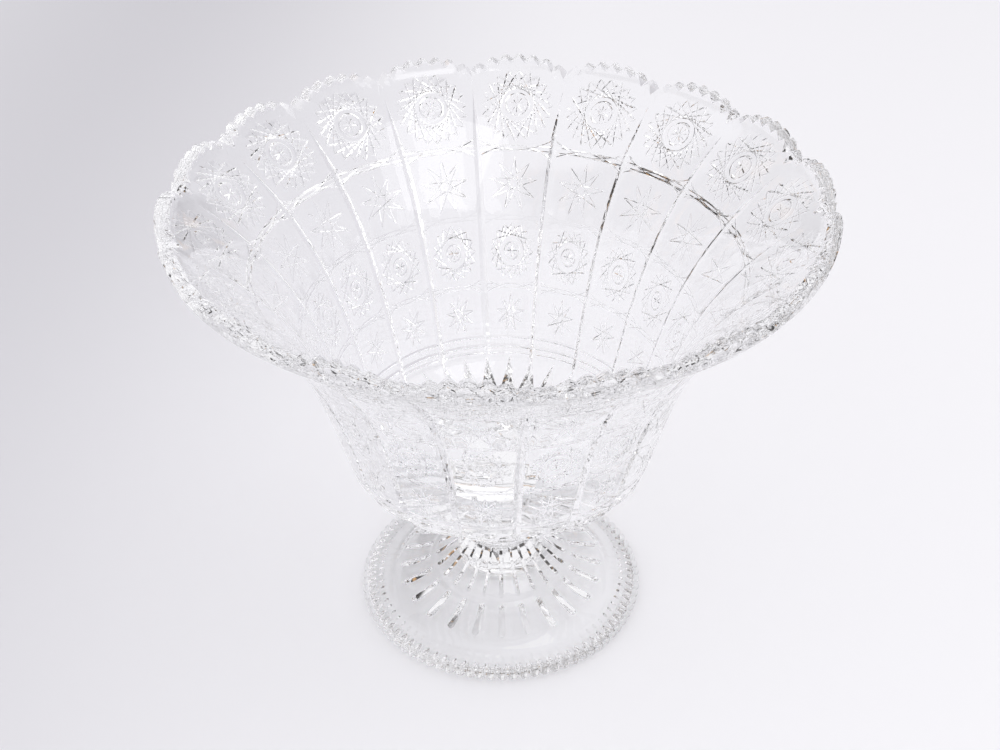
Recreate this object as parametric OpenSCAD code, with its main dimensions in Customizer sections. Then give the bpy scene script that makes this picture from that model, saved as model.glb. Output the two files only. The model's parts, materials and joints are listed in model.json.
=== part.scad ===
// Footed trifle bowl in clear pressed and cut glass.
// Bowl and foot are pressed apart and joined hot, with a small wafer of glass between them.
// Origin: centre of the face that the foot rests on, +Z up. A valley of the rim lies on +X.

/* [Bowl] */
// Height of the lobe tops above the table
bowl_top = 198; // [188:0.5:212]
// Outer width of the upright lip
rim_width = 248; // [238:1:262]
// Outer width of the wall at the middle ring cut
base_width = 126.5; // [122:0.5:132]
// Height of the middle ring cut above the table
base_height = 84.5; // [81:0.5:89]
// Lean of the wall at the middle ring cut, in degrees from upright
foot_lean = 15; // [11:0.5:19]
// Lean of the wall where it meets the bend under the lip, in degrees from upright
flare_lean = 52; // [46:0.5:56]
// Outer radius of the bend that turns the flare up into the lip
lip_bend = 9; // [8:0.5:12]
// Height of the upright lip above that bend
lip_height = 2.5; // [1.5:0.25:4]
// Thickness of the flared wall
wall_thickness = 5.5; // [4:0.25:7]
// Thickness of the floor on the axis
floor_thickness = 8; // [7:0.25:10]
// How much larger the floor's radius is than the rounded underside's
floor_flatness = 7; // [3:0.5:14]
// Radius of the rounded corner between floor and wall, inside
floor_fillet = 14; // [8:1:18]
// Height of the wall's foot below the middle ring cut
corner_drop = 4.7; // [4.5:0.1:6]

/* [Rim] */
// Number of lobes, one to a panel
lobe_count = 18; // [12:1:24]
// How far a lobe top stands above the valleys beside it
lobe_rise = 6; // [3:0.5:8]
// Teeth on each lobe
teeth_per_lobe = 7; // [5:1:9]
// Depth of the cut between two teeth
tooth_depth = 2.4; // [1.4:0.1:3]
// Flat top of a tooth, as a share of its pitch
tooth_top_share = 0.15; // [0.1:0.05:0.4]

/* [Cut lines] */
// Width of a mitre cut between two panels, at its foot
panel_cut_width = 3.2; // [2:0.2:4.4]
// Depth of a mitre cut between two panels, at its foot
panel_cut_depth = 1.4; // [0.8:0.1:1.8]
// Drop from a rim valley to the point of the mitre cut below it
rim_margin = 7; // [5:0.5:12]
// Number of ring cuts round the foot of the wall
ring_count = 3; // [1:2:3]
// Distance from one ring cut to the next, up the wall
ring_pitch = 3.5; // [2.6:0.1:3.8]
// Width of a ring cut
ring_cut_width = 1.6; // [1:0.1:2]
// Depth of a ring cut
ring_cut_depth = 0.7; // [0.4:0.1:1]
// Height of the upper band of cuts above the table
upper_band_height = 165.5; // [163:0.5:170]
// Height of the middle band of cuts above the table
middle_band_height = 140.5; // [134:0.5:146]
// Height of the lower band of cuts above the table
lower_band_height = 111.5; // [106:0.5:118]
// Distance between the two cuts of a band
band_pitch = 3.8; // [2.6:0.1:5]
// Width of a band's cut
band_cut_width = 1.5; // [1:0.1:2]
// Depth of a band's cut
band_cut_depth = 0.6; // [0.4:0.1:0.9]

/* [Star under the bowl] */
// Rays of the star, to each panel
rays_per_panel = 2; // [1:1:3]
// Distance of the outer ray tips from the axis
ray_reach = 56; // [52:0.5:58]
// Distance of the inner ray tips from the axis
ray_start = 24; // [22:0.5:30]
// Opening angle of a ray's two faces
ray_angle = 112; // [90:2:124]

/* [Joint] */
// Height of the wafer's lower face above the table
wafer_height = 42; // [39:0.5:45]
// Thickness of the wafer
wafer_thickness = 5; // [3:0.5:7]
// Width of the wafer
wafer_width = 36; // [33:1:40]
// Width of the boss under the bowl, at the wafer
boss_width = 31; // [27:0.5:32]
// Height of the underside's lowest point above the wafer, inside the boss
boss_rise = 8.4; // [7:0.1:11]
// Reach of the hollow curve from the boss out to the underside
boss_fillet = 6; // [3:0.5:8]

/* [Foot] */
// Width of the foot without its beads
foot_width = 120; // [116:1:128]
// Width of the foot's top face, at the wafer
stem_top_width = 30; // [28:0.5:32]
// Width of the stem at its narrowest
stem_waist = 26; // [22:0.5:27]
// Height of the stem's narrowest place
waist_height = 37.5; // [35:0.5:38.5]
// Width of the domed part, inside the bevelled edge
dome_width = 104; // [100:1:108]
// Height of the dome's outer edge
dome_edge = 7.3; // [6.5:0.1:9]
// Height of the bevel's lower edge
bevel_edge = 2.8; // [2:0.1:3.4]
// Inner width of the ring that rests on the table
rest_inner_width = 102; // [98:1:106]
// Outer width of the ring that rests on the table
rest_outer_width = 115; // [111:1:116]
// Height of the hollow under the foot, on the axis
hollow_height = 12; // [8:0.5:15]

/* [Foot pattern] */
// Angle by which the foot is turned against the bowl, in degrees
foot_turn = 5; // [0:0.5:15]
// Number of long flutes on the dome
flute_count = 24; // [16:1:30]
// Distance of a flute's round end from the axis
flute_reach = 42; // [39:0.5:45]
// Distance of a flute's upper end from the axis
flute_start = 15.5; // [15:0.5:19]
// Distance from the axis of the plain ring that crosses the flutes
flute_break = 30; // [27:0.5:33]
// Width of that plain ring
break_width = 2.4; // [1.6:0.2:3.2]
// Width of a flute outside the plain ring
outer_flute_width = 2.4; // [1.6:0.1:3]
// Width of a flute inside the plain ring
inner_flute_width = 1.4; // [0.8:0.1:1.8]
// Depth of a flute
flute_depth = 0.9; // [0.5:0.1:1.4]
// Number of round beads on the foot's edge
bead_count = 84; // [60:1:90]
// Share of its pitch that each bead fills
bead_fill_share = 0.95; // [0.8:0.01:0.98]
// Height of the beads' undersides above the table
bead_lift = 0.3; // [0.1:0.1:0.8]

/* [Hidden] */
// How far each cutting body runs past the surface that it opens
overrun = 2;
round_sides = 144;
bead_sides = 16;
arc_steps = 8;
curve_steps = 12;
// Straight pieces of the wall's curve between two bands, and in the bend under the lip
wall_steps = 4;
bend_steps = 4;
// How far the wall curve's two handles reach, as shares of the curve's rise
foot_handle_share = 0.40;
flare_handle_share = 0.51;
// Where the trumpet curve's two handles stand between waist and dome edge
waist_handle_share = 0.36;
dome_handle_share = 0.44;
dome_lift_share = 0.04;
glass = [0.93, 0.95, 0.97, 0.45];

panel_angle = 360 / lobe_count;
rim_r = rim_width / 2;
base_r = base_width / 2;
valley_height = bowl_top - lobe_rise;
corner_height = base_height - corner_drop;
corner_r = foot_line_r(corner_height);
boss_r = boss_width / 2;
boss_bottom = wafer_height + wafer_thickness;
underside_low = boss_bottom + boss_rise;
cap_rise = corner_height - underside_low;
underside_radius = (corner_r ^ 2 + cap_rise ^ 2) / (2 * cap_rise);
cap_centre = underside_low + underside_radius;
floor_radius = underside_radius + floor_flatness;
floor_height = underside_low + floor_thickness;
floor_centre = floor_height + floor_radius;
lobe_chord = 2 * rim_r * sin(panel_angle / 2);
tooth_pitch = lobe_chord / teeth_per_lobe;

foot_r = foot_width / 2;
dome_r = dome_width / 2;
waist_r = stem_waist / 2;
bead_r = PI * foot_r / bead_count * bead_fill_share;

// Cubic curve through four points, its direction, and the side to the left of that direction
function cubic(p, t) = p[0] * (1 - t) ^ 3 + 3 * p[1] * t * (1 - t) ^ 2
    + 3 * p[2] * t ^ 2 * (1 - t) + p[3] * t ^ 3;
function cubic_way(p, t) =
    let (step = (p[1] - p[0]) * (1 - t) ^ 2 + 2 * (p[2] - p[1]) * t * (1 - t) + (p[3] - p[2]) * t ^ 2)
    step / norm(step);
function cubic_side(p, t) = let (way = cubic_way(p, t)) [-way[1], way[0]];
// Place along a rising curve where one coordinate reaches a value, found by halving
function cubic_at(p, axis, value, low = 0, high = 1, left = 16) =
    let (middle = (low + high) / 2)
    left == 0 ? middle
        : cubic(p, middle)[axis] < value ? cubic_at(p, axis, value, middle, high, left - 1)
        : cubic_at(p, axis, value, low, middle, left - 1);

// The outer wall, from the middle ring cut up to the bend under the lip
wall_foot = [base_r, base_height];
bend_centre = [rim_r - lip_bend, bowl_top - lip_height];
flare_end = bend_centre + lip_bend * [cos(flare_lean), -sin(flare_lean)];
wall_rise = flare_end[1] - base_height;
wall_curve = [
    wall_foot,
    wall_foot + wall_rise * foot_handle_share * [sin(foot_lean), cos(foot_lean)],
    flare_end - wall_rise * flare_handle_share * [sin(flare_lean), cos(flare_lean)],
    flare_end
];
function wall_at(z) = cubic_at(wall_curve, 1, z);
// A place on the wall's outer face, moved in by an inset
function wall(t, inset = 0) = cubic(wall_curve, t) + cubic_side(wall_curve, t) * inset;
// Radius of the straight foot of the wall, and height of the underside
function foot_line_r(z) = base_r + (z - base_height) * tan(foot_lean);
function cap_z(r) = cap_centre - sqrt(underside_radius ^ 2 - r ^ 2);

// Points of an arc about [x, z], from one angle to another
function arc(x, z, r, from, to, steps = arc_steps) =
    [for (i = [0:steps]) let (a = from + (to - from) * i / steps) [x + r * cos(a), z + r * sin(a)]];

// Height at which a line parallel to the foot of the wall, a distance in from its outer face,
// meets a circle about the axis
function foot_line_meets(inset, centre, radius) =
    let (
        slope = tan(foot_lean),
        start = foot_line_r(0) - inset / cos(foot_lean),
        half = start * slope - centre,
        square = 1 + slope ^ 2
    )
    (-half - sqrt(half ^ 2 - square * (start ^ 2 + centre ^ 2 - radius ^ 2))) / square;

// One V-shaped ring cut: about a point of the wall, along the wall's direction there
function ring_cut(place, way, width, depth) =
    [place - way * width / 2, place - [way[1], -way[0]] * depth, place + way * width / 2];
function ring_cuts() = [
    for (k = [0:ring_count - 1])
        let (way = cubic_way(wall_curve, 0))
        each ring_cut(wall_foot + way * (k - (ring_count - 1) / 2) * ring_pitch, way,
            ring_cut_width, ring_cut_depth)
];
function band(height) = [
    for (side = [-1, 1])
        let (t = wall_at(height), way = cubic_way(wall_curve, t))
        each ring_cut(wall(t) + way * side * band_pitch / 2, way, band_cut_width, band_cut_depth)
];
// Smooth wall between two heights, without its two ends
function plain_wall(from, to) =
    [for (i = [1:wall_steps - 1]) wall(wall_at(from + (to - from) * i / wall_steps))];

// Underside and outer wall, from the boss to the rim
function outer_line() =
    let (
        neck = cap_z(boss_r + boss_fillet),
        low = (boss_bottom + neck) / 2,
        half_band = (band_pitch + band_cut_width) / 2
    )
    concat(
        [[0, boss_bottom], [boss_r, boss_bottom]],
        [for (i = [0:arc_steps]) let (a = 90 * i / arc_steps)
            [boss_r + boss_fillet * (1 - cos(a)), low + (neck - low) * sin(a)]],
        [for (i = [1:arc_steps]) let (r = boss_r + boss_fillet
            + (corner_r - boss_r - boss_fillet) * i / arc_steps) [r, cap_z(r)]],
        ring_cuts(),
        plain_wall(base_height + ring_pitch, lower_band_height - half_band),
        band(lower_band_height),
        plain_wall(lower_band_height + half_band, middle_band_height - half_band),
        band(middle_band_height),
        plain_wall(middle_band_height + half_band, upper_band_height - half_band),
        band(upper_band_height),
        plain_wall(upper_band_height + half_band, flare_end[1]),
        arc(bend_centre[0], bend_centre[1], lip_bend, -flare_lean, 0, bend_steps),
        [[rim_r, bowl_top]]
    );

// Inner wall and floor, from the rim to the axis
function inner_line() =
    let (
        z = foot_line_meets(wall_thickness + floor_fillet, floor_centre, floor_radius - floor_fillet),
        r = foot_line_r(z) - (wall_thickness + floor_fillet) / cos(foot_lean),
        turn = atan2(z - floor_centre, r)
    )
    concat(
        [[rim_r - wall_thickness, bowl_top]],
        arc(bend_centre[0], bend_centre[1], lip_bend - wall_thickness, 0, -flare_lean, bend_steps),
        [for (i = [curve_steps - 1:-1:0]) wall(i / curve_steps, wall_thickness)],
        arc(r, z, floor_fillet, -foot_lean, turn),
        [for (i = [1:arc_steps]) let (a = turn + (-90 - turn) * i / arc_steps)
            [i == arc_steps ? 0 : floor_radius * cos(a), floor_centre + floor_radius * sin(a)]]
    );

// The rim's edge over one lobe: a bowed line with a notch before and after each tooth
function lobe_edge(x) = valley_height + lobe_rise * (1 - (2 * x / lobe_chord) ^ 2);
function tooth_line() =
    let (notch = tooth_pitch * (1 - tooth_top_share) / 2)
    [for (j = [0:teeth_per_lobe])
        let (x = j * tooth_pitch - lobe_chord / 2)
        each [
            if (j > 0) [x - notch, lobe_edge(x - notch)],
            [x, lobe_edge(x) - tooth_depth],
            if (j < teeth_per_lobe) [x + notch, lobe_edge(x + notch)]
        ]
    ];

// All that stands above the teeth of one lobe, to be cut away
module lobe_cut() {
    side = lobe_chord / 2;
    top = bowl_top + overrun;
    inside = flare_end[0] - wall_thickness - overrun;
    translate([inside * cos(panel_angle / 2), 0, 0])
        rotate([90, 0, 90])
            linear_extrude(rim_r + overrun - inside * cos(panel_angle / 2))
                polygon(concat(
                    [[-side - overrun, top], [-side - overrun, valley_height]],
                    tooth_line(),
                    [[side + overrun, valley_height], [side + overrun, top]]
                ));
}

// A V-shaped cutting body along +Z whose edge lies on the axis
module mitre(half_width, depth, length) {
    wide = half_width * (depth + overrun) / depth;
    linear_extrude(length)
        polygon([[0, 0], [depth + overrun, wide], [depth + overrun, -wide]]);
}

// The mitre cut between two panels. Each of its two faces is a prism that runs along the wall's
// curve and slants away from the panel line, and the cut is what both prisms share
module panel_cut() {
    top = wall_at(valley_height - rim_margin);
    foot = wall_foot - cubic_way(wall_curve, 0) * (corner_drop / cos(foot_lean) + overrun);
    foot_side = cubic_side(wall_curve, 0);
    steps = [for (i = [0:curve_steps]) i / curve_steps * top];
    deep = concat(
        [foot + foot_side * panel_cut_depth],
        [for (t = steps) wall(t, t == top ? 0 : panel_cut_depth)]
    );
    proud = concat([foot - foot_side * 2 * overrun], [for (t = steps) wall(t, -2 * overrun)]);
    middle_lean = (foot_lean + flare_lean) / 2;
    slant = atan2(panel_cut_depth, panel_cut_width / 2);
    reach = panel_cut_width / 2 + 2 * overrun;
    outline = concat(deep, [for (i = [len(proud) - 1:-1:0]) proud[i]]);
    intersection_for(hand = [-1, 1])
        rotate([0, middle_lean, 0])
            rotate([0, 0, hand * slant])
                rotate([90, 0, 0])
                    linear_extrude(2 * reach / cos(slant), center = true)
                        polygon([for (p = outline)
                            let (
                                out = p[0] * cos(middle_lean) - p[1] * sin(middle_lean),
                                up = p[0] * sin(middle_lean) + p[1] * cos(middle_lean)
                            )
                            [out * cos(slant), up]]);
}

// One ray of the star: a straight cut between two points of the round underside
module ray_cut() {
    fall = cap_z(ray_reach) - cap_z(ray_start);
    run = ray_reach - ray_start;
    length = sqrt(run ^ 2 + fall ^ 2);
    depth = underside_radius - sqrt(underside_radius ^ 2 - length ^ 2 / 4);
    translate([ray_start, 0, cap_z(ray_start)])
        rotate([0, atan2(run, fall), 0])
            mitre(depth * tan(ray_angle / 2), depth, length);
}

module bowl() {
    color(glass) difference() {
        rotate_extrude($fn = round_sides) polygon(concat(outer_line(), inner_line()));
        for (i = [0:lobe_count - 1]) {
            rotate([0, 0, (i + 0.5) * panel_angle]) lobe_cut();
            rotate([0, 0, i * panel_angle]) panel_cut();
        }
        for (i = [0:lobe_count * rays_per_panel - 1])
            rotate([0, 0, i * panel_angle / rays_per_panel]) ray_cut();
    }
}

module joining_wafer() {
    r = wafer_width / 2;
    edge = wafer_thickness / 2;
    color(glass) translate([0, 0, wafer_height])
        rotate_extrude($fn = round_sides)
            polygon(concat([[0, 0]], arc(r - edge, edge, edge, -90, 90), [[0, wafer_thickness]]));
}

// The foot's trumpet curve, from the waist to the dome's edge
trumpet_curve = [
    [waist_r, waist_height],
    [waist_r, waist_height - (waist_height - dome_edge) * waist_handle_share],
    [waist_r + (dome_r - waist_r) * dome_handle_share,
        dome_edge + (waist_height - dome_edge) * dome_lift_share],
    [dome_r, dome_edge]
];
// A place on the trumpet's face, raised by a lift
function trumpet(t, lift = 0) = cubic(trumpet_curve, t) + cubic_side(trumpet_curve, t) * lift;
function trumpet_at(r) = cubic_at(trumpet_curve, 0, r);

function foot_outline() =
    let (
        rest_in = rest_inner_width / 2,
        ball = (rest_in ^ 2 + hollow_height ^ 2) / (2 * hollow_height),
        turn = asin(rest_in / ball),
        top_r = stem_top_width / 2
    )
    concat(
        arc(0, hollow_height - ball, ball, 90, 90 - turn),
        [[rest_outer_width / 2, 0], [foot_r, bevel_edge / 2], [foot_r, bevel_edge]],
        [for (i = [curve_steps:-1:0]) trumpet(i / curve_steps)],
        [for (i = [1:arc_steps]) let (a = 90 * i / arc_steps)
            [waist_r + (top_r - waist_r) * (1 - cos(a)),
             waist_height + (wafer_height - waist_height) * sin(a)]],
        [[0, wafer_height]]
    );

// Plan of a flute between two distances from the axis: a slot whose outer end may be round
module flute_plan(from, to, width, round_end = false) {
    half = width / 2;
    polygon(concat(
        [[from, half], [from, -half]],
        round_end ? arc(to, 0, half, -90, 90) : [[to, -half], [to, half]]
    ));
}

// The layer that the flutes take off the dome, from flute_depth below its face to clear above it
module flute_layer() {
    low = trumpet_at(flute_start - flute_depth);
    high = trumpet_at(flute_reach + outer_flute_width);
    places = [for (i = [0:curve_steps]) low + (high - low) * i / curve_steps];
    rotate_extrude($fn = round_sides) polygon(concat(
        [for (t = places) trumpet(t, -flute_depth)],
        [for (i = [curve_steps:-1:0]) trumpet(places[i], overrun)]
    ));
}

module flutes() {
    intersection() {
        flute_layer();
        for (i = [0:flute_count - 1])
            rotate([0, 0, i * 360 / flute_count])
                linear_extrude(waist_height + overrun) {
                    flute_plan(flute_start, flute_break - break_width / 2, inner_flute_width);
                    flute_plan(flute_break + break_width / 2, flute_reach, outer_flute_width, true);
                }
    }
}

module foot() {
    color(glass) rotate([0, 0, foot_turn]) difference() {
        union() {
            rotate_extrude($fn = round_sides) polygon(foot_outline());
            for (i = [0:bead_count - 1])
                rotate([0, 0, i * 360 / bead_count])
                    translate([foot_r, 0, bead_lift + bead_r]) sphere(r = bead_r, $fn = bead_sides);
        }
        flutes();
    }
}

bowl();
joining_wafer();
foot();
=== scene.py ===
import json
import math

import bmesh
import bpy
import numpy as np
from mathutils import Matrix, Vector

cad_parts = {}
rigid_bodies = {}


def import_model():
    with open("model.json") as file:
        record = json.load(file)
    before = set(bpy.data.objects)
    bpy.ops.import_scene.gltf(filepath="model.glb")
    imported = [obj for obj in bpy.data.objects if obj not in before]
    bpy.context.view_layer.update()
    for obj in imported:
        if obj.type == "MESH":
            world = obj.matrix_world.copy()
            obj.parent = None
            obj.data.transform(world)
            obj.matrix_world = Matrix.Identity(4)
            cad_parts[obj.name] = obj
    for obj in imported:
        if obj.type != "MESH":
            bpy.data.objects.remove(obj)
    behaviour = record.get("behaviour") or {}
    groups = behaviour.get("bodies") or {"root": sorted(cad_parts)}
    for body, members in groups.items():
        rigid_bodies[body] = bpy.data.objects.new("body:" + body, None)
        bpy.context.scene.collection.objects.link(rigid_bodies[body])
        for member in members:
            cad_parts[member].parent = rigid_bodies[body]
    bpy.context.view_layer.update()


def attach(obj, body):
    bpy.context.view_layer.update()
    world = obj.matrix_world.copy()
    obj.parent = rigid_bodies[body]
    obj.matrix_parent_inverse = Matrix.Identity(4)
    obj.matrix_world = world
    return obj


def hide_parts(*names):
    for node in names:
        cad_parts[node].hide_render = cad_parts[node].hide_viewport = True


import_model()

# ------------ sizes, in millimetres
MM = 0.001
PANELS = 18
HALF_PANEL = math.pi / PANELS
TEETH_PER_LOBE = 7
HALF_TOOTH = HALF_PANEL / TEETH_PER_LOBE
WALL = 5.5
RIM_R, LOBE_Z, VALLEY_Z, TOOTH_DEPTH = 124.0, 198.0, 192.0, 2.4
RIM_OVERRUN = 3
BEND_R, BEND_CENTRE = 9.0, np.array([115.0, 195.5])
FOOT_LEAN, FLARE_LEAN = math.radians(15.0), math.radians(52.0)
FOOT_HANDLE, FLARE_HANDLE = 0.40, 0.51
CURVE_POINTS, BEND_POINTS = 400, 80
WALL_FOOT = np.array([63.25, 84.5])
CORNER_Z = 79.8
CORNER_R = WALL_FOOT[0] - (WALL_FOOT[1] - CORNER_Z) * math.tan(FOOT_LEAN)
UNDERSIDE_LOW = 55.4
CAP_RISE = CORNER_Z - UNDERSIDE_LOW
UNDERSIDE_R = (CORNER_R ** 2 + CAP_RISE ** 2) / (2 * CAP_RISE)
UNDERSIDE_CENTRE = UNDERSIDE_LOW + UNDERSIDE_R
FLOOR_FLATNESS, FLOOR_THICK = 7.0, 8.0
FLOOR_R = UNDERSIDE_R + FLOOR_FLATNESS
FLOOR_CENTRE = UNDERSIDE_LOW + FLOOR_THICK + FLOOR_R
CORNER_TURN = math.asin(CORNER_R / UNDERSIDE_R)
BOSS_R = 15.5
BOSS_FILLET = 6.0
WAFER_LOW, WAFER_HIGH, WAFER_R = 42.0, 47.0, 18.0
JOINT_GAP = 0.02
FOOT_TURN = math.radians(5.0)
FLUTES = 24
BEADS = 84
FOOT_R = 60.0

# Each panel bulges by this much, and the bulge starts and ends over these stretches of the wall
PANEL_BULGE = 0.7
BULGE_STARTS, BULGE_ENDS = (-6, 2), (108, 126)
# The inside turns from the floor to the wall, and from square to level, over these stretches
FLOOR_TO_WALL, SQUARE_TO_LEVEL = (-6, 6), (112, 130)
# Middles of the stars on the flat panel: across and up the wall
ROSETTE, STAR, LOW_ROSETTE, LOW_STAR = (0, 112.4), (0, 77.8), (0, 48.6), (0, 20.3)


# ------------ meshes and objects
def make_mesh(name, points, faces):
    mesh = bpy.data.meshes.new(name)
    mesh.from_pydata([tuple(p) for p in points], [], faces)
    mesh.update()
    return mesh


def make_object(name, mesh, collection=None):
    piece = bpy.data.objects.new(name, mesh)
    (collection or bpy.context.scene.collection).objects.link(piece)
    return piece


def outward(mesh):
    """Turns a closed mesh's faces outwards."""
    bm = bmesh.new()
    bm.from_mesh(mesh)
    bmesh.ops.recalc_face_normals(bm, faces=bm.faces)
    if bm.calc_volume(signed=True) < 0:
        bmesh.ops.reverse_faces(bm, faces=bm.faces)
    bm.to_mesh(mesh)
    bm.free()
    return mesh


def drop(objects):
    for ob in objects:
        bpy.data.objects.remove(ob, do_unlink=True)


def turn_matrix(angle):
    """Turn round the upright axis."""
    c, s = math.cos(angle), math.sin(angle)
    return np.array([[c, -s, 0], [s, c, 0], [0, 0, 1]])


def quarter_turn(steps, first=0):
    """Angles from nothing to a quarter turn, in even steps."""
    return [math.pi / 2 * i / steps for i in range(first, steps + 1)]


# ------------ the bowl's lines
def smooth(x, low, high):
    """A step from 0 to 1 between two places, rounded at both ends."""
    t = np.clip((np.asarray(x, float) - low) / (high - low), 0, 1)
    return t * t * (3 - 2 * t)


def outer_wall_line():
    """Straight foot, curved wall, bend and upright lip, as points of (radius, height)."""
    flare_end = BEND_CENTRE + BEND_R * np.array([math.cos(FLARE_LEAN), -math.sin(FLARE_LEAN)])
    rise = flare_end[1] - WALL_FOOT[1]
    foot_way = np.array([math.sin(FOOT_LEAN), math.cos(FOOT_LEAN)])
    flare_way = np.array([math.sin(FLARE_LEAN), math.cos(FLARE_LEAN)])
    foot_handle = WALL_FOOT + rise * FOOT_HANDLE * foot_way
    flare_handle = flare_end - rise * FLARE_HANDLE * flare_way
    t = np.linspace(0, 1, CURVE_POINTS)[:, None]
    curve = (WALL_FOOT * (1 - t) ** 3 + 3 * foot_handle * t * (1 - t) ** 2
             + 3 * flare_handle * t ** 2 * (1 - t) + flare_end * t ** 3)
    turn = np.linspace(-FLARE_LEAN, 0, BEND_POINTS)[1:, None]
    lip_bend = BEND_CENTRE + BEND_R * np.hstack([np.cos(turn), np.sin(turn)])
    return np.vstack([[CORNER_R, CORNER_Z], curve, lip_bend, [RIM_R, LOBE_Z + RIM_OVERRUN]])


WALL_LINE = outer_wall_line()
WALL_S = np.concatenate([[0.0], np.cumsum(np.linalg.norm(np.diff(WALL_LINE, axis=0), axis=1))])
WALL_LEAN = np.arctan2(*np.gradient(WALL_LINE, WALL_S, axis=0).T)
INNER_LINE = WALL_LINE + WALL * np.stack([-np.cos(WALL_LEAN), np.sin(WALL_LEAN)], 1)
BEND_START = float(WALL_S[CURVE_POINTS])


def outer_radius(s):
    """Outer radius at a distance s up the wall from the corner; below zero it's under the bowl."""
    s = np.asarray(s, float)
    under = UNDERSIDE_R * np.sin(CORNER_TURN + np.minimum(s, 0) / UNDERSIDE_R)
    return np.where(s < 0, under, np.interp(s, WALL_S, WALL_LINE[:, 0]))


def outer_height(s):
    """Height of the outside at a distance s up the wall from the corner."""
    s = np.asarray(s, float)
    under = UNDERSIDE_CENTRE - UNDERSIDE_R * np.cos(CORNER_TURN + np.minimum(s, 0) / UNDERSIDE_R)
    return np.where(s < 0, under, np.interp(s, WALL_S, WALL_LINE[:, 1]))


def lean_at(s):
    """The wall's lean from upright."""
    return np.interp(s, WALL_S, WALL_LEAN)


def inner_point(s):
    """Point of the smooth inside opposite s, as radius and height. It's level with s at the rim."""
    s = np.asarray(s, float)
    level, lean = smooth(s, *SQUARE_TO_LEVEL), lean_at(s)
    r, z = outer_radius(s), outer_height(s)
    square_r, square_z = r - WALL * np.cos(lean), z + WALL * np.sin(lean)
    level_r = np.interp(z, INNER_LINE[:, 1], INNER_LINE[:, 0])
    wall_r = square_r + (level_r - square_r) * level
    wall_z = square_z + (z - square_z) * level
    share = (CORNER_R - WALL * math.cos(FOOT_LEAN)) / CORNER_R
    floor_r = r * share
    floor_z = FLOOR_CENTRE - np.sqrt(FLOOR_R ** 2 - np.minimum(floor_r, FLOOR_R) ** 2)
    on_wall = smooth(s, *FLOOR_TO_WALL)
    return floor_r + (wall_r - floor_r) * on_wall, floor_z + (wall_z - floor_z) * on_wall


def rim_line(turn):
    """Top of the wall, as a distance up it, at an angle from the lobe's middle."""
    height = VALLEY_Z + (LOBE_Z - VALLEY_Z) * (1 - (np.asarray(turn) / HALF_PANEL) ** 2)
    return np.interp(height, WALL_LINE[:, 1], WALL_S)


def bend(flat):
    """Moves flat points (across, up the wall, depth) onto the bowl. Returns metres."""
    across, s, depth = flat[:, 0], flat[:, 1], flat[:, 2]
    turn = across / outer_radius(s)
    inside = np.clip(-depth / WALL, 0, 1)
    inner_r, inner_z = inner_point(s)
    bulge = PANEL_BULGE * (1 - (turn / HALF_PANEL) ** 2)
    bulge = bulge * smooth(s, *BULGE_STARTS) * (1 - smooth(s, *BULGE_ENDS))
    outer_r = outer_radius(s) + bulge * np.cos(lean_at(s))
    outer_z = outer_height(s) - bulge * np.sin(lean_at(s))
    r = outer_r + (inner_r - outer_r) * inside
    z = outer_z + (inner_z - outer_z) * inside
    return np.stack([r * np.cos(turn), r * np.sin(turn), z], 1) * MM


# ------------ the blank of half a panel
START_S = -(CORNER_TURN - math.asin((BOSS_R + BOSS_FILLET) / UNDERSIDE_R)) * UNDERSIDE_R
COLUMNS = 5
COLUMN_TURNS = [HALF_PANEL * i / COLUMNS for i in range(COLUMNS + 1)]
LOW_SHARES = (1.0, 0.86, 0.72, 0.58, 0.44, 0.3, 0.17, 0.08)
BEND_SHARES = (0.25, 0.5, 0.75)
ROWS = [START_S * share for share in LOW_SHARES] + [
    0.0, 3.0, 6.5, 15, 27, 39, 51, 63, 74, 84, 94, 103, 112, 120, BEND_START]
CROWN_EASE = 0.6
CROWN = [(0.0, -CROWN_EASE), (-CROWN_EASE, 0.0), (-WALL + CROWN_EASE, 0.0), (-WALL, -CROWN_EASE)]
# What a face of the blank is: the glass itself, or a face where the next piece of glass joins on
SKIN, SIDE, NECK = 0, 1, 2


def half_panel_blank():
    """The wall of half a panel laid flat, with a rounded rim, as one closed block."""
    points, faces, cap, loops = [], [], [], []
    for turn in COLUMN_TURNS:
        top = float(rim_line(turn))
        edge = top + CROWN[0][1]
        rows = ROWS + [BEND_START + (edge - BEND_START) * share for share in BEND_SHARES]
        loop = [(s, 0.0) for s in rows] + [(top + rise, depth) for depth, rise in CROWN]
        loop += [(s, -WALL) for s in reversed(rows)]
        loops.append(loop)
    size, last = len(loops[0]), len(rows) - 1
    for turn, loop in zip(COLUMN_TURNS, loops):
        points += [(turn * float(outer_radius(s)), s, depth) for s, depth in loop]
    for c in range(COLUMNS):
        for i in range(size):
            j = (i + 1) % size
            a, b = c * size, (c + 1) * size
            faces.append((a + i, a + j, b + j, b + i))
            cap.append(NECK if i == size - 1 else SKIN)
    for c in (0, COLUMNS):
        base = c * size
        for i in range(last):
            faces.append((base + i, base + i + 1, base + size - 2 - i, base + size - 1 - i))
            cap.append(SIDE)
        faces.append(tuple(base + i for i in range(last, last + len(CROWN) + 2)))
        cap.append(SIDE)
    mesh = outward(make_mesh("half_panel_blank", points, faces))
    mark = mesh.attributes.new("cap", "INT", "FACE")
    mark.data.foreach_set("value", cap)
    return mesh


# ------------ cutting bodies
# A cutting body stands this far clear of the glass, and ends this far above it where a cut runs out
LIFT, RUN_OUT = 1.6, 0.02


def wedge_sides(a, b):
    """The faces between two three-cornered sections whose points start at a and b."""
    return [face for i, j in ((0, 1), (1, 2), (2, 0))
            for face in ((a + i, a + j, b + j), (a + i, b + j, b + i))]


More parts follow.
